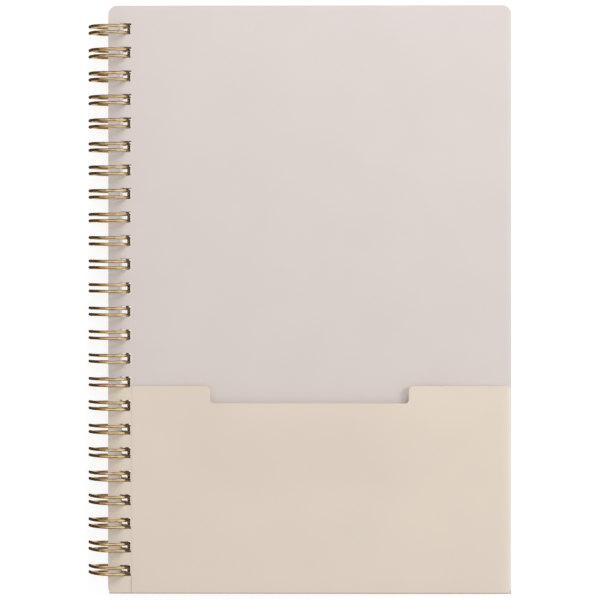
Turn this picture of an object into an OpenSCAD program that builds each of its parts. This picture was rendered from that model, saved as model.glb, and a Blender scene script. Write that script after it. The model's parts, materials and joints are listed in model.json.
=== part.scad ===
// Wire-bound notebook with a folded pocket cover, lying closed, in millimetres.
// The width runs along X, with the bound edge at -X. The height runs along Y. +Z is up.

/* [Covers] */
// Width of the covers, from the bound edge to the fore edge
cover_w = 144.8; // [110:0.2:180]
// Height of the covers, from the foot to the head
cover_h = 211.4; // [180:0.2:260]
// Radius of the trimmed corners
corner_r = 3.2; // [1:0.1:6]
// Thickness of the front cover's card
card_t = 0.4; // [0.3:0.05:0.6]
// Thickness of the back cover's board
back_t = 0.5; // [0.3:0.05:1.5]
// Width of the hinge score pressed into the covers
score_w = 0.5; // [0.3:0.1:1]
// Depth of the hinge score
score_d = 0.12; // [0.05:0.01:0.2]

/* [Pages] */
// Thickness of the page block
pages_t = 5.5; // [3:0.1:9]
// How far the pages stay inside the covers at the fore edge
page_fore_inset = 1.3; // [0.2:0.1:4]
// How far the pages stay inside the covers at the head and the foot
page_end_inset = 0.7; // [0.2:0.1:4]

/* [Pocket] */
// Height of the pocket, from the fold at the foot to its mouth
pocket_h = 74.6; // [50:0.1:110]
// How far the pocket's fore edge leans in at its mouth
pocket_lean = 0.7; // [0:0.1:3]
// Clear gap between the pocket's two walls
pocket_gap = 0.6; // [0.5:0.05:1.2]
// Width of the thumb notch in the pocket's mouth
notch_w = 71.2; // [30:0.2:90]
// Depth of the thumb notch
notch_d = 6.2; // [3:0.1:15]
// Radius where the notch meets the mouth
notch_shoulder_r = 1.8; // [0.5:0.1:2.5]
// Radius at the notch's lower corners
notch_foot_r = 1.4; // [0.5:0.1:2.5]
// Width of the glued tab folded under the pocket's right-hand edge
tab_w = 13; // [6:0.5:25]
// How far the tab's ends taper in
tab_taper = 4; // [1:0.5:6]
// Distance from the tab's ends to the foot fold and the mouth
tab_end_gap = 0.6; // [0.5:0.1:3]
// Length of the worn corner at the foot of the bound edge
worn_h = 2.3; // [0.8:0.1:4]
// Width of the worn corner
worn_w = 0.5; // [0.1:0.1:1.5]

/* [Wire] */
// Distance from one double loop to the next, three to the inch
pitch = 8.467; // [6.35:0.001:8.467]
// Thickness of the wire
wire_d = 1.05; // [0.8:0.05:1.3]
// Bend radius where a strand turns along the spine
root_r = 1.1; // [0.7:0.05:1.3]
// Length of the cut stub at each end of the wire
stub_l = 1.2; // [0.5:0.1:2.5]

/* [Holes] */
// Height of each square hole
hole_h = 4; // [3.6:0.1:4.4]
// Distance from the bound edge to the holes
hole_edge = 4.26; // [3.5:0.02:6]
// Radius of the holes' corners
hole_r = 0.25; // [0.1:0.05:0.6]
// Least distance from the covers' ends to the middle of a hole
hole_end = 6; // [4:0.5:12]

/* [Clearances] */
// Between the wire and the holes' edges where it passes the stack's corners
corner_play = 0.05; // [0.02:0.01:0.3]
// Between the wire's outer side and the holes' far edges
far_play = 0.97; // [0.3:0.01:3]
// Between the strands of a loop and the hole's two ends
strand_play = 0.325; // [0.15:0.005:0.6]
// Between the front cover and the pages
cover_play = 0.12; // [0.05:0.01:0.5]
// Between the pages and the back cover at the fore edge
fore_play = 0.1; // [0.05:0.01:0.5]
// Between the wire's bars and the sheets on each side of them
bar_play = 0.12; // [0.08:0.01:0.5]
// Between the loops' closed tips and the bars
tip_play = 0.2; // [0.1:0.05:1]
// From the rings' axis to the bound edge, so that the opened covers pass it
axis_offset = 0.1; // [0.05:0.05:0.5]

/* [Hidden] */
$fn = 64;

// Heights from the rings' axis, from the top down
front_t = 2 * card_t + pocket_gap;
bar_slot = wire_d + 2 * bar_play;
stack_t = front_t + cover_play + pages_t + bar_slot + back_t;
top_z = stack_t / 2;
flap_z = top_z - card_t;
sheet_z = top_z - front_t;
pages_z = sheet_z - cover_play - pages_t;
bar_z = pages_z - bar_slot / 2;
back_z = -stack_t / 2;

// Places along X from the rings' axis
hole_x = axis_offset + hole_edge;
fore_x = axis_offset + cover_w;
pages_fore_x = fore_x - page_fore_inset;
strand_gap = hole_h - wire_d - 2 * strand_play;
ring_in = sqrt(top_z * top_z + hole_x * hole_x) + corner_play;
ring_r = ring_in + wire_d / 2;
ring_out = ring_in + wire_d;
tip_reach = sqrt(ring_r * ring_r + strand_gap * strand_gap / 4) + wire_d / 2;
hole_w = tip_reach + far_play - hole_x;
score_x = hole_x + hole_w - score_w / 2;

// Angles round the rings' axis, from +X towards +Z
root_reach = sqrt(ring_r * ring_r + root_r * root_r);
bar_angle = asin(bar_z / root_reach);
root_angle = bar_angle - atan(root_r / ring_r);
tip_angle = bar_angle + (strand_gap / 2 + wire_d + tip_play) / ring_r * 180 / PI;

// A bend is drawn a hair thinner than the wire, so that its ends lie inside the runs it joins
bend_d = wire_d - 0.02;
seat_l = 0.06;

// How far a point, out along X and down from the axis, turns about it to reach a face a distance below
function slope(distance, out, down) = asin(distance / sqrt(out * out + down * down)) - atan(down / out);

// The back cover rests on the rings and on its own fore edge, and the pages close down onto it
back_lean = slope(ring_out, fore_x, top_z);
settle = slope(top_z - back_t, pages_fore_x, fore_play - pages_z);
lean = back_lean + settle;
fold_r = front_t / 2;
tab_fold_r = (card_t + pocket_gap) / 2;
reach_x = fore_x * cos(lean) + top_z * sin(lean);
centre_x = (reach_x - ring_out) / 2;

foot_y = -cover_h / 2;
mouth_y = foot_y + pocket_h;
fold_y = foot_y + fold_r;
fold_skew = atan(pocket_lean / (mouth_y - fold_y));
loops = floor((cover_h - 2 * hole_end) / pitch) + 1;
function loop_y(i) = (i - (loops - 1) / 2) * pitch;

// A round-cornered rectangle from its low corner, each corner with its own radius,
// in the order low-left, low-right, high-right, high-left
module sheet_outline(low, size, radii) {
    high = low + size;
    centres = [
        [low.x + radii[0], low.y + radii[0]],
        [high.x - radii[1], low.y + radii[1]],
        [high.x - radii[2], high.y - radii[2]],
        [low.x + radii[3], high.y - radii[3]]
    ];
    corners = [low, [high.x, low.y], high, [low.x, high.y]];
    difference() {
        translate(low) square(size);
        for (i = [0:3])
            if (radii[i] > 0) corner_cut(corners[i], centres[i], radii[i]);
    }
}

// What a round corner takes off a square one
module corner_cut(corner, centre, radius) {
    low = [min(corner.x, centre.x), min(corner.y, centre.y)];
    difference() {
        translate(low) square(radius);
        translate(centre) circle(radius);
    }
}

module hole_row() {
    for (i = [0:loops - 1])
        sheet_outline([hole_x, loop_y(i) - hole_h / 2], [hole_w, hole_h], [hole_r, hole_r, hole_r, hole_r]);
}

// The cover's flat sheet, from the foot fold to the head
module cover_sheet() {
    translate([0, 0, sheet_z]) linear_extrude(card_t)
        sheet_outline([axis_offset, fold_y], [cover_w, cover_h - fold_r], [0, 0, corner_r, corner_r]);
}

// The card's turn at the foot, as half a tube
module foot_fold() {
    translate([axis_offset, fold_y, top_z - fold_r]) rotate([90, 0, 90]) linear_extrude(cover_w)
        difference() {
            circle(fold_r);
            circle(pocket_gap / 2);
            translate([0, -2 * fold_r]) square(4 * fold_r);
        }
}

// The flap's outline, with the thumb notch in its mouth. Its fore edge leans in towards the mouth
module flap_outline(right_x) {
    notch_x = axis_offset + cover_w / 2 - notch_w / 2;
    notch_y = mouth_y - notch_d;
    difference() {
        polygon([
            [axis_offset, fold_y],
            [right_x, fold_y],
            [right_x - pocket_lean, mouth_y],
            [axis_offset, mouth_y]
        ]);
        difference() {
            translate([notch_x - notch_shoulder_r, notch_y])
                square([notch_w + 2 * notch_shoulder_r, notch_d + 1]);
            for (side = [0, 1]) {
                shoulder_x = notch_x + side * notch_w + (2 * side - 1) * notch_shoulder_r;
                translate([shoulder_x, mouth_y - notch_shoulder_r]) circle(notch_shoulder_r);
                translate([shoulder_x - notch_shoulder_r, notch_y - 1])
                    square([2 * notch_shoulder_r, notch_d + 1 - notch_shoulder_r]);
                foot_x = notch_x + side * notch_w;
                corner_cut([foot_x, notch_y], [foot_x + (1 - 2 * side) * notch_foot_r, notch_y + notch_foot_r],
                    notch_foot_r);
            }
        }
    }
}

// The flap, from the foot fold up to the mouth and across to the tab's fold
module flap() {
    translate([0, 0, flap_z]) linear_extrude(card_t) flap_outline(fore_x - tab_fold_r);
}

// The card's turn at the fore edge, and the tab glued to the sheet beneath
module glue_tab() {
    low_y = tab_end_gap;
    high_y = (mouth_y - fold_y) / cos(fold_skew) - tab_end_gap;
    translate([fore_x - tab_fold_r, fold_y, 0]) rotate([0, 0, fold_skew]) {
        translate([0, high_y, top_z - tab_fold_r]) rotate([90, 0, 0]) linear_extrude(high_y - low_y)
            difference() {
                circle(tab_fold_r);
                circle(tab_fold_r - card_t);
                translate([-4 * tab_fold_r, -2 * tab_fold_r]) square(4 * tab_fold_r);
            }
        translate([0, 0, sheet_z + card_t]) linear_extrude(card_t) polygon([
            [0, low_y],
            [0, high_y],
            [-tab_w, high_y - tab_taper],
            [-tab_w, low_y + tab_taper]
        ]);
    }
}

// The corner worn off the fold at the foot of the bound edge
module worn_corner() {
    translate([0, 0, sheet_z - 1]) linear_extrude(front_t + 2) polygon([
        [axis_offset - 1, foot_y - 1],
        [axis_offset + worn_w, foot_y - 1],
        [axis_offset + worn_w, foot_y],
        [axis_offset, foot_y + worn_h],
        [axis_offset - 1, foot_y + worn_h]
    ]);
}

// The score that lets a cover bend at the far edges of its holes
module score(z, low_y) {
    translate([score_x, low_y, z]) cube([score_w, cover_h + 1, score_d]);
}

module front_cover() {
    color("#dbcfc6") seated(lean) difference() {
        union() {
            cover_sheet();
            foot_fold();
            flap();
            glue_tab();
        }
        worn_corner();
        translate([0, 0, sheet_z - 1]) linear_extrude(front_t + 2) hole_row();
        score(top_z - score_d, foot_y - 0.5);
    }
}

module page_block() {
    color("#f4f2ee") seated(lean) translate([0, 0, pages_z]) linear_extrude(pages_t) difference() {
        sheet_outline(
            [axis_offset, foot_y + page_end_inset],
            [pages_fore_x - axis_offset, cover_h - 2 * page_end_inset],
            [corner_r, corner_r, corner_r, corner_r]
        );
        hole_row();
    }
}

module back_cover() {
    color("#cfc2b2") seated(back_lean) difference() {
        translate([0, 0, back_z]) linear_extrude(back_t) difference() {
            sheet_outline([axis_offset, foot_y], [cover_w, cover_h], [corner_r, corner_r, corner_r, corner_r]);
            hole_row();
        }
        score(back_z, foot_y - 0.5);
    }
}

// Places its children where the rings pass an angle, with X outwards and Z along the ring
module on_ring(angle) {
    rotate([0, -angle, 0]) translate([ring_r, 0, 0]) children();
}

// One strand of a double loop, from its tip round to its root
module strand() {
    rotate([90, 0, 0]) rotate([0, 0, tip_angle]) rotate_extrude(angle = 360 + root_angle - tip_angle)
        translate([ring_r, 0]) circle(d = wire_d);
}

// A bend of the wire about X, its ends seated a little way inside the straight runs that it joins
module bend(radius, from, to) {
    seat = seat_l / radius * 180 / PI;
    rotate([0, 90, 0]) rotate([0, 0, from - seat]) rotate_extrude(angle = to - from + 2 * seat)
        translate([radius, 0]) circle(d = bend_d);
}

// The closed end of a double loop
module tip() {
    on_ring(tip_angle) bend(strand_gap / 2, -90, 90);
}

// The turn from a strand into a bar along the spine, towards -Y or +Y
module root(side) {
    from = side > 0 ? 180 : 90;
    on_ring(root_angle) translate([0, side * root_r, 0]) bend(root_r, from, from + 90);
}

// A straight run of wire along the spine, from one root towards +Y
module bar(length) {
    on_ring(root_angle) translate([0, 0, root_r]) rotate([-90, 0, 0]) cylinder(d = wire_d, h = length);
}

module double_loop(i) {
    for (side = [-1, 1]) translate([0, side * strand_gap / 2, 0]) {
        strand();
        root(side);
    }
    tip();
}

module binding_wire() {
    bar_l = pitch - strand_gap - 2 * root_r;
    color("#a98a5b") seated(lean) {
        for (i = [0:loops - 1]) translate([0, loop_y(i), 0]) {
            double_loop(i);
            translate([0, strand_gap / 2 + root_r, 0]) bar(i < loops - 1 ? bar_l : stub_l);
        }
        translate([0, loop_y(0) - strand_gap / 2 - root_r - stub_l, 0]) bar(stub_l);
    }
}

// From the rings' axis to the place where the notebook rests
module seated(angle) {
    translate([-centre_x, 0, ring_out]) rotate([0, angle, 0]) children();
}

front_cover();
page_block();
back_cover();
binding_wire();
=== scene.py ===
# Wire-bound notebook, lying closed with its pocket cover up
import json
import math
import random

import bpy
from mathutils import Matrix, Vector


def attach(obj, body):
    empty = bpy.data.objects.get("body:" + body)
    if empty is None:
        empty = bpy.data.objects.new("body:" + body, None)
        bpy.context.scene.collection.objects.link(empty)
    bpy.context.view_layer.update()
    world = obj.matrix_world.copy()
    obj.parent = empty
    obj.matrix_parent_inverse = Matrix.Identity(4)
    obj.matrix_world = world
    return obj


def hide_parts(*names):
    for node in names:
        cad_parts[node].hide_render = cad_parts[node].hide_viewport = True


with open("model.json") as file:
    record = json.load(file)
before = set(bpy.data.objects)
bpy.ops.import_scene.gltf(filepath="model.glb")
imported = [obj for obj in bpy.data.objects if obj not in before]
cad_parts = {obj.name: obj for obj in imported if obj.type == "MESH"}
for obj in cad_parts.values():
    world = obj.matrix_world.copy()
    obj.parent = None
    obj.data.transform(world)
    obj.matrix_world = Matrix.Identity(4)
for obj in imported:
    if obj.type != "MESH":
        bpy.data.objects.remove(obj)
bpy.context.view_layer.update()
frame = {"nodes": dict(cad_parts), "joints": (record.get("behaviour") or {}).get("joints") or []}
nodes = frame["nodes"]
random.seed(24)

# Pieces are modelled in mm in the pad's own frame: x from the rings' axis to the fore edge,
# y from foot to head, z up from the axis. padFrame then lays them down where the pad lies.
pad = {
    "lean": 1.6192,  # degrees that the pad falls from the rings to the fore edge
    "spineX": 0.1,  # the sheets' bound edge
    "coverWidth": 144.8,
    "coverHeight": 211.4,
    "sheetTop": 3.405,  # the cover's flat sheet
    "flapTop": 4.405,  # the pocket's flap
    "cardThick": 0.4,
    "holePitch": 8.467,
    "holeCount": 24,
}
mm = 0.001  # in metres
skin = 0.01  # mm that a limit stands off the face it is meant for
weldGap = 0.0005  # mm between points of a CAD mesh that are really one
levelNormal = 0.9  # a level face's normal goes at least this far along z
wallNormal = 0.1  # and a wall's at most this far
foreX = pad["spineX"] + pad["coverWidth"]
footY = -pad["coverHeight"] / 2
lastHoleY = (pad["holeCount"] - 1) / 2 * pad["holePitch"]
ringAxis = Vector(frame["joints"][0]["pos_m"])
padFrame = (
    Matrix.Translation(ringAxis)
    @ Matrix.Rotation(math.radians(pad["lean"]), 4, "Y")
    @ Matrix.Scale(mm, 4)
)


def pickOnly(obj):
    if bpy.context.object and bpy.context.object.mode != "OBJECT":
        bpy.ops.object.mode_set(mode="OBJECT")
    bpy.ops.object.select_all(action="DESELECT")
    obj.select_set(True)
    bpy.context.view_layer.objects.active = obj


def layOnPad(obj):
    # from mm in the pad's frame to metres where the pad lies
    pickOnly(obj)
    obj.matrix_world = padFrame @ obj.matrix_world
    bpy.ops.object.transform_apply(location=True, rotation=True, scale=True)


def pickVerts(obj, test):
    # in edit mode: selects the points that pass the test, and what they span
    bpy.ops.mesh.select_mode(type="VERT")
    bpy.ops.mesh.select_all(action="DESELECT")
    bpy.ops.object.mode_set(mode="OBJECT")
    for v in obj.data.vertices:
        v.select = test(v.co)
    bpy.ops.object.mode_set(mode="EDIT")
    bpy.ops.mesh.select_mode(type="VERT")


def pickFaces(obj, test):
    # in edit mode: selects the faces whose middle and normal pass the test
    bpy.ops.mesh.select_mode(type="FACE")
    bpy.ops.mesh.select_all(action="DESELECT")
    bpy.ops.object.mode_set(mode="OBJECT")
    for p in obj.data.polygons:
        p.select = test(p.center, p.normal)
    bpy.ops.object.mode_set(mode="EDIT")


def applyModifiers(obj):
    pickOnly(obj)
    for m in list(obj.modifiers):
        bpy.ops.object.modifier_apply(modifier=m.name)


# Camera
photo = {
    "size": 600,
    "pxPerMm": 2.783,
    "distance": 1100.0,  # mm from the cover
    "sensor": 36.0,
    "coverX": 309.6,  # the cover's middle in the photo
    "coverY": 299.5,
    "axisY": 340.0,  # the row that the lens looks straight down on
    "turn": 0.7,  # degrees more than the cover's own lean
}


def makeCamera():
    half = photo["size"] / 2
    aim = Vector(
        (
            pad["spineX"] + pad["coverWidth"] / 2 + (half - photo["coverX"]) / photo["pxPerMm"],
            (photo["coverY"] - photo["axisY"]) / photo["pxPerMm"],
            pad["sheetTop"],
        )
    )
    bpy.ops.object.camera_add(location=(0, 0, 0))
    camera = bpy.context.object
    camera.name = "photoCamera"
    tilt = math.radians(pad["lean"] + photo["turn"])
    camera.rotation_euler = (0, tilt, 0)
    away = Vector((math.sin(tilt), 0, math.cos(tilt)))
    camera.location = padFrame @ aim + away * photo["distance"] * mm
    lens = camera.data
    lens.sensor_width = photo["sensor"]
    lens.lens = photo["sensor"] * photo["distance"] * photo["pxPerMm"] / photo["size"]
    lens.shift_y = (photo["axisY"] - half) / photo["size"]
    lens.clip_start = 0.01
    lens.clip_end = 20
    bpy.context.scene.camera = camera
    print("camera at", [round(v, 4) for v in camera.location], "lens", round(lens.lens, 1))


makeCamera()


# Materials. A noise's values mostly lie in one of these ranges
noiseRange = (0.3, 0.7)
wideRange = (0.2, 0.8)
narrowRange = (0.35, 0.65)


def srgb(r, g, b):
    def linear(c):
        c /= 255
        return c / 12.92 if c <= 0.04045 else ((c + 0.055) / 1.055) ** 2.4

    return (linear(r), linear(g), linear(b), 1)


def startMaterial(name):
    mat = bpy.data.materials.new(name)
    mat.use_nodes = True
    return mat, mat.node_tree, mat.node_tree.nodes["Principled BSDF"]


def addNode(tree, kind, **sockets):
    node = tree.nodes.new(kind)
    for key, value in sockets.items():
        node.inputs[key].default_value = value
    return node


def padCoords(tree):
    # Object coordinates turned back into mm in the pad's own frame
    coords = tree.nodes.new("ShaderNodeTexCoord")
    mapping = tree.nodes.new("ShaderNodeMapping")
    mapping.vector_type = "TEXTURE"
    mapping.inputs["Location"].default_value = ringAxis
    mapping.inputs["Rotation"].default_value = (0, math.radians(pad["lean"]), 0)
    mapping.inputs["Scale"].default_value = (mm, mm, mm)
    tree.links.new(coords.outputs["Object"], mapping.inputs["Vector"])
    return mapping.outputs["Vector"]


def splitVector(tree, vector):
    parts = tree.nodes.new("ShaderNodeSeparateXYZ")
    tree.links.new(vector, parts.inputs[0])
    return parts.outputs


def mathNode(tree, kind, a, b=None, c=None):
    node = tree.nodes.new("ShaderNodeMath")
    node.operation = kind
    for slot, value in enumerate((a, b, c)):
        if value is None:
            continue
        if isinstance(value, (int, float)):
            node.inputs[slot].default_value = value
        else:
            tree.links.new(value, node.inputs[slot])
    return node.outputs[0]


def noiseNode(tree, vector, scale, detail=2.0, roughness=0.5):
    node = addNode(tree, "ShaderNodeTexNoise", Scale=scale, Detail=detail, Roughness=roughness)
    tree.links.new(vector, node.inputs["Vector"])
    return node.outputs["Fac"]


def mixColour(tree, share, a, b, blend="MIX"):
    node = tree.nodes.new("ShaderNodeMix")
    node.data_type = "RGBA"
    node.blend_type = blend
    ends = (node.inputs[6], node.inputs[7])
    for socket, value in zip((node.inputs[0],) + ends, (share, a, b)):
        if isinstance(value, (int, float, tuple)):
            socket.default_value = value
        else:
            tree.links.new(value, socket)
    return node.outputs[2]


def spread(tree, value, fromRange, toRange):
    node = addNode(tree, "ShaderNodeMapRange")
    for slot, number in zip(("From Min", "From Max", "To Min", "To Max"), (*fromRange, *toRange)):
        node.inputs[slot].default_value = number
    tree.links.new(value, node.inputs["Value"])
    return node.outputs["Result"]


def finishSurface(tree, shader, height, settings):
    # the same fibres or scratches give the roughness and the relief
    roughness = spread(tree, height, noiseRange, settings["roughness"])
    tree.links.new(roughness, shader.inputs["Roughness"])
    bump = addNode(tree, "ShaderNodeBump", Strength=settings["bump"], Distance=settings["bumpDepth"])
    tree.links.new(height, bump.inputs["Height"])
    tree.links.new(bump.outputs["Normal"], shader.inputs["Normal"])


def cardSurface(tree, shader, vector, colour, settings):
    # mottled pulp, fine fibres and a dry finish
    clouds = noiseNode(tree, vector, settings["mottleScale"], detail=3.0)
    fibres = noiseNode(tree, vector, settings["fibreScale"], detail=4.0, roughness=0.7)
    mottle = spread(tree, clouds, noiseRange, (1 - settings["mottle"], 1 + settings["mottle"]))
    grain = spread(tree, fibres, wideRange, (1 - settings["grain"], 1 + settings["grain"]))
    tone = mathNode(tree, "MULTIPLY", mottle, grain)
    grey = tree.nodes.new("ShaderNodeCombineColor")
    for k in range(3):
        tree.links.new(tone, grey.inputs[k])
    toned = mixColour(tree, 1.0, colour, grey.outputs[0], "MULTIPLY")
    tree.links.new(toned, shader.inputs["Base Color"])
    finishSurface(tree, shader, fibres, settings)
    shader.inputs["Specular IOR Level"].default_value = settings["specular"]


# The cover's card, with its folds' sizes in mm
card = {
    "front": srgb(218, 208, 203),  # the card's greige side
    "back": srgb(226, 213, 198),  # its cream side, which the fold brings to the front
    "fibreScale": 5.0,  # per mm
    "mottleScale": 0.05,
    "mottle": 0.012,
    "grain": 0.02,
    "roughness": (0.72, 0.88),
    "specular": 0.35,
    "bump": 0.12,
    "bumpDepth": 0.00005,  # metres
    # painted shade, along the outside of the foot's fold and in the crease below the holes
    "paintedShadeTone": srgb(158, 148, 142),
    "footShadeShare": 0.55,
    "footShadeFrom": 0.42,  # past the start of the foot's fold
    # painted shade in the crease: how dark it is, where it runs and how wide
    "creaseShadeShare": 0.35,
    "creaseX": 8.37,
    "creaseWidth": 0.3,
    "creaseDrop": 2.4,  # from the middle of the lowest hole
    # painted light, paler towards the fore edge
    "paleTone": srgb(255, 253, 250),
    "edgeLightShare": (0.1, 0.32),  # on the greige side and on the cream side
    "edgeLightWidth": 5.0,  # in from the fore edge, where painted light makes the card paler
    "edgeLightCurve": 3.0,
    "footRadius": 0.7,
    "tabRadius": 0.5,
    "pocketLean": 0.25,
    "pocketHeight": 74.6,
}


def makeCoverCard():
    mat, tree, shader = startMaterial("coverCard")
    vector = padCoords(tree)
    x, y, z = splitVector(tree, vector)
    foldY = footY + card["footRadius"]
    foldZ = pad["flapTop"] - card["footRadius"]
    tabX = foreX - card["tabRadius"]
    tabZ = pad["flapTop"] - card["tabRadius"]
    half = pad["cardThick"] / 2
    # the tab's fold leans in towards the mouth
    slant = card["pocketLean"] / (card["pocketHeight"] - card["footRadius"])
    along = mathNode(tree, "SUBTRACT", y, foldY)
    below = mathNode(tree, "MULTIPLY", along, -1.0)
    pastTab = mathNode(tree, "SUBTRACT", mathNode(tree, "MULTIPLY_ADD", along, slant, x), tabX)

    def outside(across, centre, radius):
        # past a fold's axis, and further from it than the middle of the card
        rise = mathNode(tree, "SUBTRACT", z, centre)
        squares = [mathNode(tree, "POWER", side, 2.0) for side in (across, rise)]
        far = mathNode(tree, "GREATER_THAN", mathNode(tree, "ADD", *squares), (radius - half) ** 2)
        return mathNode(tree, "MULTIPLY", far, mathNode(tree, "GREATER_THAN", across, 0.0))

    # the cream side shows on the flap, on both folds and under the sheet
    aboveSheet = mathNode(tree, "GREATER_THAN", z, pad["sheetTop"] + skin)
    tab = mathNode(tree, "MULTIPLY", outside(pastTab, tabZ, card["tabRadius"]), aboveSheet)
    foot = outside(below, foldZ, card["footRadius"])
    under = mathNode(tree, "LESS_THAN", z, pad["sheetTop"] - half)
    cream = mathNode(tree, "GREATER_THAN", z, pad["flapTop"] - half)
    for side in (under, foot, tab):
        cream = mathNode(tree, "MAXIMUM", cream, side)
    colour = mixColour(tree, cream, card["front"], card["back"])

    # painted shade along the outside of the foot's fold
    footShade = mathNode(tree, "GREATER_THAN", below, card["footShadeFrom"])
    footShade = mathNode(tree, "MULTIPLY", footShade, card["footShadeShare"])
    colour = mixColour(tree, footShade, colour, card["paintedShadeTone"])

    # painted shade in the crease from the lowest hole to that fold
    creaseShade = mathNode(tree, "COMPARE", x, card["creaseX"], card["creaseWidth"] / 2)
    low = mathNode(tree, "LESS_THAN", y, -(lastHoleY + card["creaseDrop"]))
    creaseShade = mathNode(tree, "MULTIPLY", mathNode(tree, "MULTIPLY", creaseShade, low), card["creaseShadeShare"])
    colour = mixColour(tree, creaseShade, colour, card["paintedShadeTone"])

    # painted light: a paler strip along the fore edge
    edgeLight = spread(tree, x, (foreX - card["edgeLightWidth"], foreX), (0.0, 1.0))
    edgeLight = mathNode(tree, "POWER", edgeLight, card["edgeLightCurve"])
    greige, creamy = card["edgeLightShare"]
    share = mathNode(tree, "MULTIPLY_ADD", cream, creamy - greige, greige)
    colour = mixColour(tree, mathNode(tree, "MULTIPLY", edgeLight, share), colour, card["paleTone"])
    cardSurface(tree, shader, vector, colour, card)
    return mat


page = {
    "paper": srgb(244, 241, 234),
    "rule": srgb(186, 192, 200),
    "ruleGap": 7.1,  # mm
    "ruleWidth": 0.22,
    "topMargin": 20.0,
    "ruleFacing": 0.7,  # the rules are only on the leaves' faces, not on their cut edges
    "fibreScale": 4.0,  # per mm
    "grainTone": (0.6, 0.58, 0.52, 1),
    "grain": 0.06,
    "roughness": (0.8, 0.95),
    "specular": 0.3,
    "bump": 0.08,
    "bumpDepth": 0.00004,  # metres
}


def makePagePaper():
    mat, tree, shader = startMaterial("pagePaper")
    vector = padCoords(tree)
    y = splitVector(tree, vector)[1]
    headY = pad["coverHeight"] / 2 - page["topMargin"]
    down = mathNode(tree, "SUBTRACT", headY, y)
    phase = mathNode(tree, "PINGPONG", down, page["ruleGap"] / 2)
    line = mathNode(tree, "LESS_THAN", phase, page["ruleWidth"] / 2)
    belowMargin = mathNode(tree, "GREATER_THAN", down, -page["ruleWidth"])
    geometry = tree.nodes.new("ShaderNodeNewGeometry")
    facing = mathNode(tree, "ABSOLUTE", splitVector(tree, geometry.outputs["Normal"])[2])
    flat = mathNode(tree, "GREATER_THAN", facing, page["ruleFacing"])
    ink = mathNode(tree, "MULTIPLY", mathNode(tree, "MULTIPLY", line, belowMargin), flat)
    ruled = mixColour(tree, ink, page["paper"], page["rule"])
    fibres = noiseNode(tree, vector, page["fibreScale"], detail=3.0, roughness=0.6)
    grain = spread(tree, fibres, noiseRange, (0.0, page["grain"]))
    toned = mixColour(tree, grain, ruled, page["grainTone"])
    tree.links.new(toned, shader.inputs["Base Color"])
    finishSurface(tree, shader, fibres, page)
    shader.inputs["Specular IOR Level"].default_value = page["specular"]
    return mat


board = {
    "tone": srgb(214, 202, 188),
    "fibreScale": 3.0,  # per mm
    "mottleScale": 0.08,
    "mottle": 0.02,
    "grain": 0.045,
    "roughness": (0.75, 0.92),
    "specular": 0.3,
    "bump": 0.2,
    "bumpDepth": 0.00005,  # metres
}


def makeBackBoard():
    mat, tree, shader = startMaterial("backBoard")
    cardSurface(tree, shader, padCoords(tree), board["tone"], board)
    return mat


gilt = {
    "bright": srgb(233, 210, 168),
    "deep": srgb(213, 183, 135),
    "toneScale": 0.5,  # per mm
    "scratchScale": 9.0,
    "roughness": (0.14, 0.24),
    "bump": 0.05,
    "bumpDepth": 0.00002,  # metres
}


def makeGiltWire():
    mat, tree, shader = startMaterial("giltWire")
    vector = padCoords(tree)
    clouds = noiseNode(tree, vector, gilt["toneScale"])
    tone = spread(tree, clouds, narrowRange, (0.0, 1.0))
    tree.links.new(mixColour(tree, tone, gilt["deep"], gilt["bright"]), shader.inputs["Base Color"])
    scratches = noiseNode(tree, vector, gilt["scratchScale"], detail=3.0, roughness=0.6)
    finishSurface(tree, shader, scratches, gilt)
    shader.inputs["Metallic"].default_value = 1.0
    return mat


coverCard = makeCoverCard()
pagePaper = makePagePaper()
backBoard = makeBackBoard()
giltWire = makeGiltWire()
print("materials ready")


def finishPiece(obj, name, mat, body, node):
    obj.name = name
    obj.data.name = name
    obj.data.materials.clear()
    obj.data.materials.append(mat)
    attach(obj, body)
    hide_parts(node)
    print(name, "triangles", sum(len(p.vertices) - 2 for p in obj.data.polygons))


# Binding wire, in mm and degrees round the rings' axis
wire = {
    "thick": 1.05,
    "sides": 14,
    "ring": 6.7729,  # from the axis to the middle of the wire
    "strandGap": 2.3,
    "rootBend": 1.1,
    "tipAngle": -8.13,
    "rootAngle": -37.59,
    "strandSteps": 64,
    "bendSteps": 6,
    "joinGap": 0.01,
    "stub": 1.2,
    "burr": 0.1,
    "fan": 0.0034,  # how much closer the loops stand along the outside of the spine
    "lean": 0.25,  # towards the head there
    "leanSpread": 0.08,
    "leanCurve": 1.5,
    "leanDepth": 3.2,  # below the axis to where fan, lean and drop have faded out
    "drop": 0.18,  # towards the foot, on the holes' side too
    "holeReach": 1.09,  # the closed loops are a little longer on the holes' side
    "smoothAngle": 40,
}


def onRing(angle, along=0.0, up=0.0):
    # a point on the ring, and from there along the spine and up the ring
    a = math.radians(angle)
    out = Vector((math.cos(a), 0, math.sin(a)))
    tangent = Vector((-math.sin(a), 0, math.cos(a)))
    return out * wire["ring"] + Vector((0, along, 0)) + tangent * up, out


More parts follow.
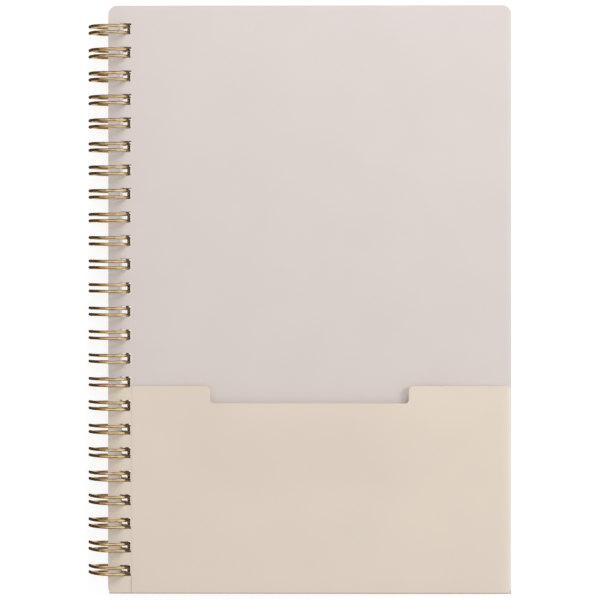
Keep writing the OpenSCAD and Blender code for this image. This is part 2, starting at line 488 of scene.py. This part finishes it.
def makeBindingWire():
    halfGap = wire["strandGap"] / 2
    halfPitch = pad["holePitch"] / 2
    root = wire["rootBend"]
    quarter = math.radians(90)
    barAt, outward = onRing(wire["rootAngle"], halfPitch, root)
    bpy.ops.object.select_all(action="DESELECT")
    bpy.ops.mesh.primitive_circle_add(
        vertices=wire["sides"], radius=wire["thick"] / 2, location=barAt, rotation=(quarter, 0, 0)
    )
    loop = bpy.context.object
    bpy.ops.object.transform_apply(location=True, rotation=True, scale=True)
    bpy.ops.object.mode_set(mode="EDIT")
    bpy.ops.mesh.select_all(action="SELECT")
    # half a bar, the turn up into a strand, the strand and half of the closed tip
    barRun = halfPitch - halfGap - root
    bpy.ops.mesh.extrude_region_move(TRANSFORM_OT_translate={"value": (0, -barRun, 0)})
    turnAt, outward = onRing(wire["rootAngle"], halfGap + root)
    bpy.ops.mesh.spin(steps=wire["bendSteps"], angle=-quarter, center=turnAt, axis=outward)
    sweep = math.radians(360 + wire["rootAngle"] - wire["tipAngle"])
    bpy.ops.mesh.spin(steps=wire["strandSteps"], angle=-sweep, center=(0, 0, 0), axis=(0, 1, 0))
    tipAt, outward = onRing(wire["tipAngle"])
    bpy.ops.mesh.spin(steps=wire["bendSteps"], angle=quarter, center=tipAt, axis=outward)
    bpy.ops.object.mode_set(mode="OBJECT")
    print("half a loop has", len(loop.data.vertices), "points")

    mirror = loop.modifiers.new("otherStrand", "MIRROR")
    mirror.use_axis = (False, True, False)
    mirror.merge_threshold = wire["joinGap"]
    row = loop.modifiers.new("loopRow", "ARRAY")
    row.count = pad["holeCount"]
    row.use_relative_offset = False
    row.use_constant_offset = True
    row.constant_offset_displace = (0, pad["holePitch"], 0)
    row.use_merge_vertices = True
    row.merge_threshold = wire["joinGap"]
    applyModifiers(loop)
    loop.location = (0, -lastHoleY, 0)
    bpy.ops.object.transform_apply(location=True)

    # the cut ends of the wire
    bpy.ops.object.mode_set(mode="EDIT")
    endY = lastHoleY + halfGap + root + wire["stub"]
    for side in (-1, 1):
        bpy.ops.mesh.select_all(action="SELECT")
        bpy.ops.mesh.bisect(
            plane_co=(0, side * endY, 0), plane_no=(0, side, 0), clear_outer=True, use_fill=True
        )
        bpy.ops.mesh.bevel(offset=wire["burr"], segments=2, affect="EDGES")
    bpy.ops.mesh.select_all(action="SELECT")
    bpy.ops.mesh.normals_make_consistent(inside=False)
    bpy.ops.object.mode_set(mode="OBJECT")
    # along the outside of the spine the loops stand a little closer, and each leans its own way.
    # All of it fades out below, and stays inside the covers' holes once they are turned right round
    leans = []
    for i in range(pad["holeCount"]):
        leans.append(wire["lean"] + random.uniform(-1, 1) * wire["leanSpread"])
    for v in loop.data.vertices:
        i = round((v.co.y + lastHoleY) / pad["holePitch"])
        left = max(0.0, -v.co.x / wire["ring"]) ** wire["leanCurve"]
        above = min(1.0, max(0.0, 1 + v.co.z / wire["leanDepth"]))
        v.co.y += above * (left * (leans[i] - wire["fan"] * v.co.y) - wire["drop"])
        if v.co.x > 0:
            v.co.x *= wire["holeReach"]
    layOnPad(loop)
    bpy.ops.object.shade_smooth_by_angle(angle=math.radians(wire["smoothAngle"]))
    finishPiece(loop, "bindingWire", giltWire, "pad", "binding_wire")


makeBindingWire()


def copyNode(name):
    # a merged copy of a CAD node's mesh, in mm in the pad's frame
    source = nodes[name]
    copy = bpy.data.objects.new(name + "Copy", source.data.copy())
    bpy.context.scene.collection.objects.link(copy)
    copy.matrix_world = padFrame.inverted()
    pickOnly(copy)
    bpy.ops.object.transform_apply(location=True, rotation=True, scale=True)
    bpy.ops.object.mode_set(mode="EDIT")
    bpy.ops.mesh.select_all(action="SELECT")
    bpy.ops.mesh.remove_doubles(threshold=weldGap)
    bpy.ops.object.mode_set(mode="OBJECT")
    bpy.ops.mesh.customdata_custom_splitnormals_clear()
    return copy


# The cover's pocket gapes a little at its mouth, between the wire and the glued tab
mouth = {
    "firstX": 9.5,
    "lastX": 143.0,
    "flapLayer": 1.2,  # card thicknesses from the flap's top down to just below it
    "flatAngle": 0.5,  # degrees
    "cutGap": 5.0,
    "edgeDepth": 7.0,  # from the mouth to below the foot of the notch
    "lift": 1.9,
    "liftFrom": 46.0,
    "liftTo": 104.0,
    "liftDepth": 6.6,
    "reach": 36.0,  # from there to where the flap lies flat
    "tabFrom": 136.0,
    "tabOut": 0.45,
    "edgeMargin": 0.05,
    "foldBand": 1.1,  # of the foot's radius, up from the foot
    "smoothAngle": 25,
}


def makeFrontCover():
    cover = copyNode("front_cover")
    mouthY = footY + card["pocketHeight"]
    flapLow = pad["flapTop"] - mouth["flapLayer"] * pad["cardThick"]
    bpy.ops.object.mode_set(mode="EDIT")

    def onFlap(c, n):
        return c.z > flapLow and c.x > mouth["firstX"] and abs(n.z) > levelNormal

    def onFlapOrEdge(c, n):
        # the flap's faces and the cut edge along its mouth and notch
        wall = c.z > flapLow and c.x > mouth["firstX"] and abs(n.z) < wallNormal
        return onFlap(c, n) or (wall and c.y > mouthY - mouth["edgeDepth"])

    pickFaces(cover, onFlapOrEdge)
    bpy.ops.mesh.dissolve_limited(angle_limit=math.radians(mouth["flatAngle"]))
    acrossCuts = int((mouth["lastX"] - mouth["firstX"]) / mouth["cutGap"])
    upCuts = int(card["pocketHeight"] / mouth["cutGap"])
    for i in range(1, acrossCuts + 1):
        pickFaces(cover, onFlapOrEdge)
        at = mouth["firstX"] + i * mouth["cutGap"]
        bpy.ops.mesh.bisect(plane_co=(at, 0, 0), plane_no=(1, 0, 0))
    for i in range(1, upCuts):
        pickFaces(cover, onFlapOrEdge)
        bpy.ops.mesh.bisect(plane_co=(0, footY + i * mouth["cutGap"], 0), plane_no=(0, 1, 0))

    def onMouth(co):
        lifted = mouth["liftFrom"] < co.x < mouth["liftTo"]
        return lifted and co.z > flapLow and co.y > mouthY - mouth["liftDepth"]

    # only the flap is left showing, so that the sheet beneath stays flat
    pickFaces(cover, onFlapOrEdge)
    bpy.ops.mesh.hide(unselected=True)
    pickVerts(cover, onMouth)
    bpy.ops.transform.translate(
        value=(0, 0, mouth["lift"]), use_proportional_edit=True,
        proportional_edit_falloff="SMOOTH", proportional_size=mouth["reach"],
    )
    bpy.ops.mesh.reveal(select=False)
    bpy.ops.object.mode_set(mode="OBJECT")
    # the tab's fold runs out nearly to the sheet's edge, also at the mouth
    for v in cover.data.vertices:
        acrossTab = mouth["tabFrom"] < v.co.x < foreX - mouth["edgeMargin"]
        if acrossTab and v.co.z > pad["sheetTop"] - skin and v.co.y < mouthY + skin:
            share = min(1.0, (v.co.x - mouth["tabFrom"]) / (mouth["lastX"] - mouth["tabFrom"]))
            v.co.x += share * mouth["tabOut"] * (v.co.y - footY) / card["pocketHeight"]
    bpy.ops.object.shade_smooth_by_angle(angle=math.radians(mouth["smoothAngle"]))

    # only the two folds and the lifted flap are shaded smooth
    def onFold(c, n):
        foot = c.y < footY + mouth["foldBand"] * card["footRadius"] and abs(n.x) < wallNormal
        tab = c.x > mouth["lastX"] and c.z > pad["sheetTop"] + skin and abs(n.y) < wallNormal
        return foot or tab

    bpy.ops.object.mode_set(mode="EDIT")
    pickFaces(cover, lambda c, n: not (onFlap(c, n) or onFold(c, n)))
    bpy.ops.mesh.faces_shade_flat()
    bpy.ops.object.mode_set(mode="OBJECT")
    layOnPad(cover)
    finishPiece(cover, "frontCover", coverCard, "front_cover", "front_cover")


makeFrontCover()

# Loose leaves, which hang a little further over on the rings towards the head
leaf = {
    "count": 22,
    "top": 2.885,
    "bottom": -2.615,
    "gap": 0.03,
    "endInset": 0.7,  # from the cover's ends
    "footShift": (0.1, 0.0),  # the top leaf and the bottom leaf
    "headShift": (1.1, 0.0),
    "jitter": 0.05,
}


def makePageLeaves():
    sheet = copyNode("page_block")
    bpy.ops.object.mode_set(mode="EDIT")
    pickFaces(sheet, lambda c, n: not (n.z > levelNormal and c.z > leaf["top"] - skin))
    bpy.ops.mesh.delete(type="FACE")
    bpy.ops.object.mode_set(mode="OBJECT")
    step = (leaf["top"] - leaf["bottom"]) / leaf["count"]
    thick = sheet.modifiers.new("paperThickness", "SOLIDIFY")
    thick.thickness = step - leaf["gap"]
    thick.offset = -1
    applyModifiers(sheet)
    length = pad["coverHeight"] - 2 * leaf["endInset"]
    stack = []
    for i in range(leaf["count"]):
        pickOnly(sheet)
        bpy.ops.object.duplicate()
        copy = bpy.context.object
        down = i / (leaf["count"] - 1)
        foot, head = (a + (b - a) * down for a, b in (leaf["footShift"], leaf["headShift"]))
        slip = random.uniform(-1, 1) * leaf["jitter"]
        copy.location = ((foot + head) / 2 + slip, random.uniform(-1, 1) * leaf["jitter"], -i * step)
        copy.rotation_euler = (0, 0, -math.atan((head - foot) / length))
        bpy.ops.object.transform_apply(location=True, rotation=True, scale=True)
        stack.append(copy)
    bpy.data.objects.remove(sheet)
    bpy.ops.object.select_all(action="DESELECT")
    for copy in stack:
        copy.select_set(True)
    bpy.context.view_layer.objects.active = stack[0]
    bpy.ops.object.join()
    leaves = bpy.context.object
    layOnPad(leaves)
    finishPiece(leaves, "pageLeaves", pagePaper, "pad", "page_block")


makePageLeaves()


# Floor and light, in metres
studio = {
    "floorSize": 6.0,
    "floorTone": (0.86, 0.86, 0.86, 1),
    "floorGlow": 1.27,
    "shadowShare": 0.35,
    "world": 0.56,
    "keyPlace": (0.85, 0.15, 0.7),
    "keySize": 0.3,
    "keyPower": 3.4,
    "headPlace": (0.1, 0.6, 0.45),
    "headSize": 0.5,
    "headPower": 2.75,
    "darkTone": srgb(84, 70, 52),
    "paleTone": srgb(196, 176, 142),
    "toneRoughness": 0.9,
    "cardX": -0.115,  # the cards that stand beside the rings, a dark one under a pale one
    "cardFoot": 0.0005,
    "cardSplit": 0.048,
    "cardTop": 0.23,
    "cardLong": 0.3,
    "lyingPlace": (-0.098, 0, 0.0005),  # the card that lies between them and the rings
    "lyingWide": 0.046,
    "endPlace": (-0.05, 0.3, 0.14),  # the cards past the head and the foot
    "endTall": 0.29,
    "endLong": 0.4,
}
white = (1, 1, 1, 1)


def softLamp(name, place, size, power):
    bpy.ops.object.light_add(type="AREA", location=place)
    lamp = bpy.context.object
    lamp.name = name
    lamp.data.size = size
    lamp.data.energy = power
    lamp.rotation_euler = (-Vector(place)).to_track_quat("-Z", "Y").to_euler()
    lamp.visible_glossy = False


def seenDirectly(tree):
    # camera, mirror and glass rays
    path = tree.nodes.new("ShaderNodeLightPath")
    either = mathNode(tree, "MAXIMUM", path.outputs["Is Camera Ray"], path.outputs["Is Glossy Ray"])
    return mathNode(tree, "MAXIMUM", either, path.outputs["Is Transmission Ray"])


def mixShaders(tree, outKind, share, first, second):
    out = tree.nodes.new(outKind)
    mix = tree.nodes.new("ShaderNodeMixShader")
    for slot, socket in enumerate((share, first.outputs[0], second.outputs[0])):
        tree.links.new(socket, mix.inputs[slot])
    tree.links.new(mix.outputs[0], out.inputs["Surface"])


def makeFloor():
    bpy.ops.mesh.primitive_plane_add(size=studio["floorSize"], location=(0, 0, 0))
    floor = bpy.context.object
    floor.name = "studioFloor"
    mat = bpy.data.materials.new("floorWhite")
    mat.use_nodes = True
    tree = mat.node_tree
    tree.nodes.clear()
    dull = addNode(tree, "ShaderNodeBsdfDiffuse", Color=studio["floorTone"])
    glow = addNode(tree, "ShaderNodeEmission", Strength=studio["floorGlow"])
    share = mathNode(tree, "MULTIPLY", seenDirectly(tree), 1 - studio["shadowShare"])
    mixShaders(tree, "ShaderNodeOutputMaterial", share, dull, glow)
    floor.data.materials.append(mat)


def makeWorld():
    world = bpy.data.worlds.new("studioWorld")
    bpy.context.scene.world = world
    world.use_nodes = True
    tree = world.node_tree
    tree.nodes.clear()
    light = addNode(tree, "ShaderNodeBackground", Color=white, Strength=studio["world"])
    shown = addNode(tree, "ShaderNodeBackground", Color=white, Strength=1.0)
    mixShaders(tree, "ShaderNodeOutputWorld", seenDirectly(tree), light, shown)


def cardTone(name, tone):
    mat, tree, shader = startMaterial(name)
    shader.inputs["Base Color"].default_value = tone
    shader.inputs["Roughness"].default_value = studio["toneRoughness"]
    return mat


def hangCard(name, place, size, turn, mat):
    # seen only in the wire's reflections
    bpy.ops.mesh.primitive_plane_add(size=1, location=place, rotation=turn)
    flag = bpy.context.object
    flag.name = name
    flag.scale = (*size, 1)
    bpy.ops.object.transform_apply(scale=True)
    flag.data.materials.append(mat)
    flag.visible_camera = False
    flag.visible_diffuse = False
    flag.visible_shadow = False
    flag.visible_transmission = False


def makeStudio():
    makeFloor()
    makeWorld()
    softLamp("keyLamp", studio["keyPlace"], studio["keySize"], studio["keyPower"])
    softLamp("headLamp", studio["headPlace"], studio["headSize"], studio["headPower"])
    dark = cardTone("cardBlack", studio["darkTone"])
    pale = cardTone("cardGrey", studio["paleTone"])
    long = studio["cardLong"]
    quarter = math.radians(90)
    for name, low, high, mat in (
        ("lowCard", studio["cardFoot"], studio["cardSplit"], dark),
        ("highCard", studio["cardSplit"], studio["cardTop"], pale),
    ):
        hangCard(name, (studio["cardX"], 0, (low + high) / 2), (high - low, long), (0, quarter, 0), mat)
    hangCard("lyingCard", studio["lyingPlace"], (studio["lyingWide"], long), (0, 0, 0), dark)
    x, y, z = studio["endPlace"]
    endSize = (studio["endLong"], studio["endTall"])
    for name, side in (("headCard", 1), ("footCard", -1)):
        hangCard(name, (x, side * y, z), endSize, (quarter, 0, 0), dark)
    bpy.context.scene.view_settings.view_transform = "Standard"


makeStudio()
print("studio ready")
nodes["back_cover"].material_slots[0].material = backBoard
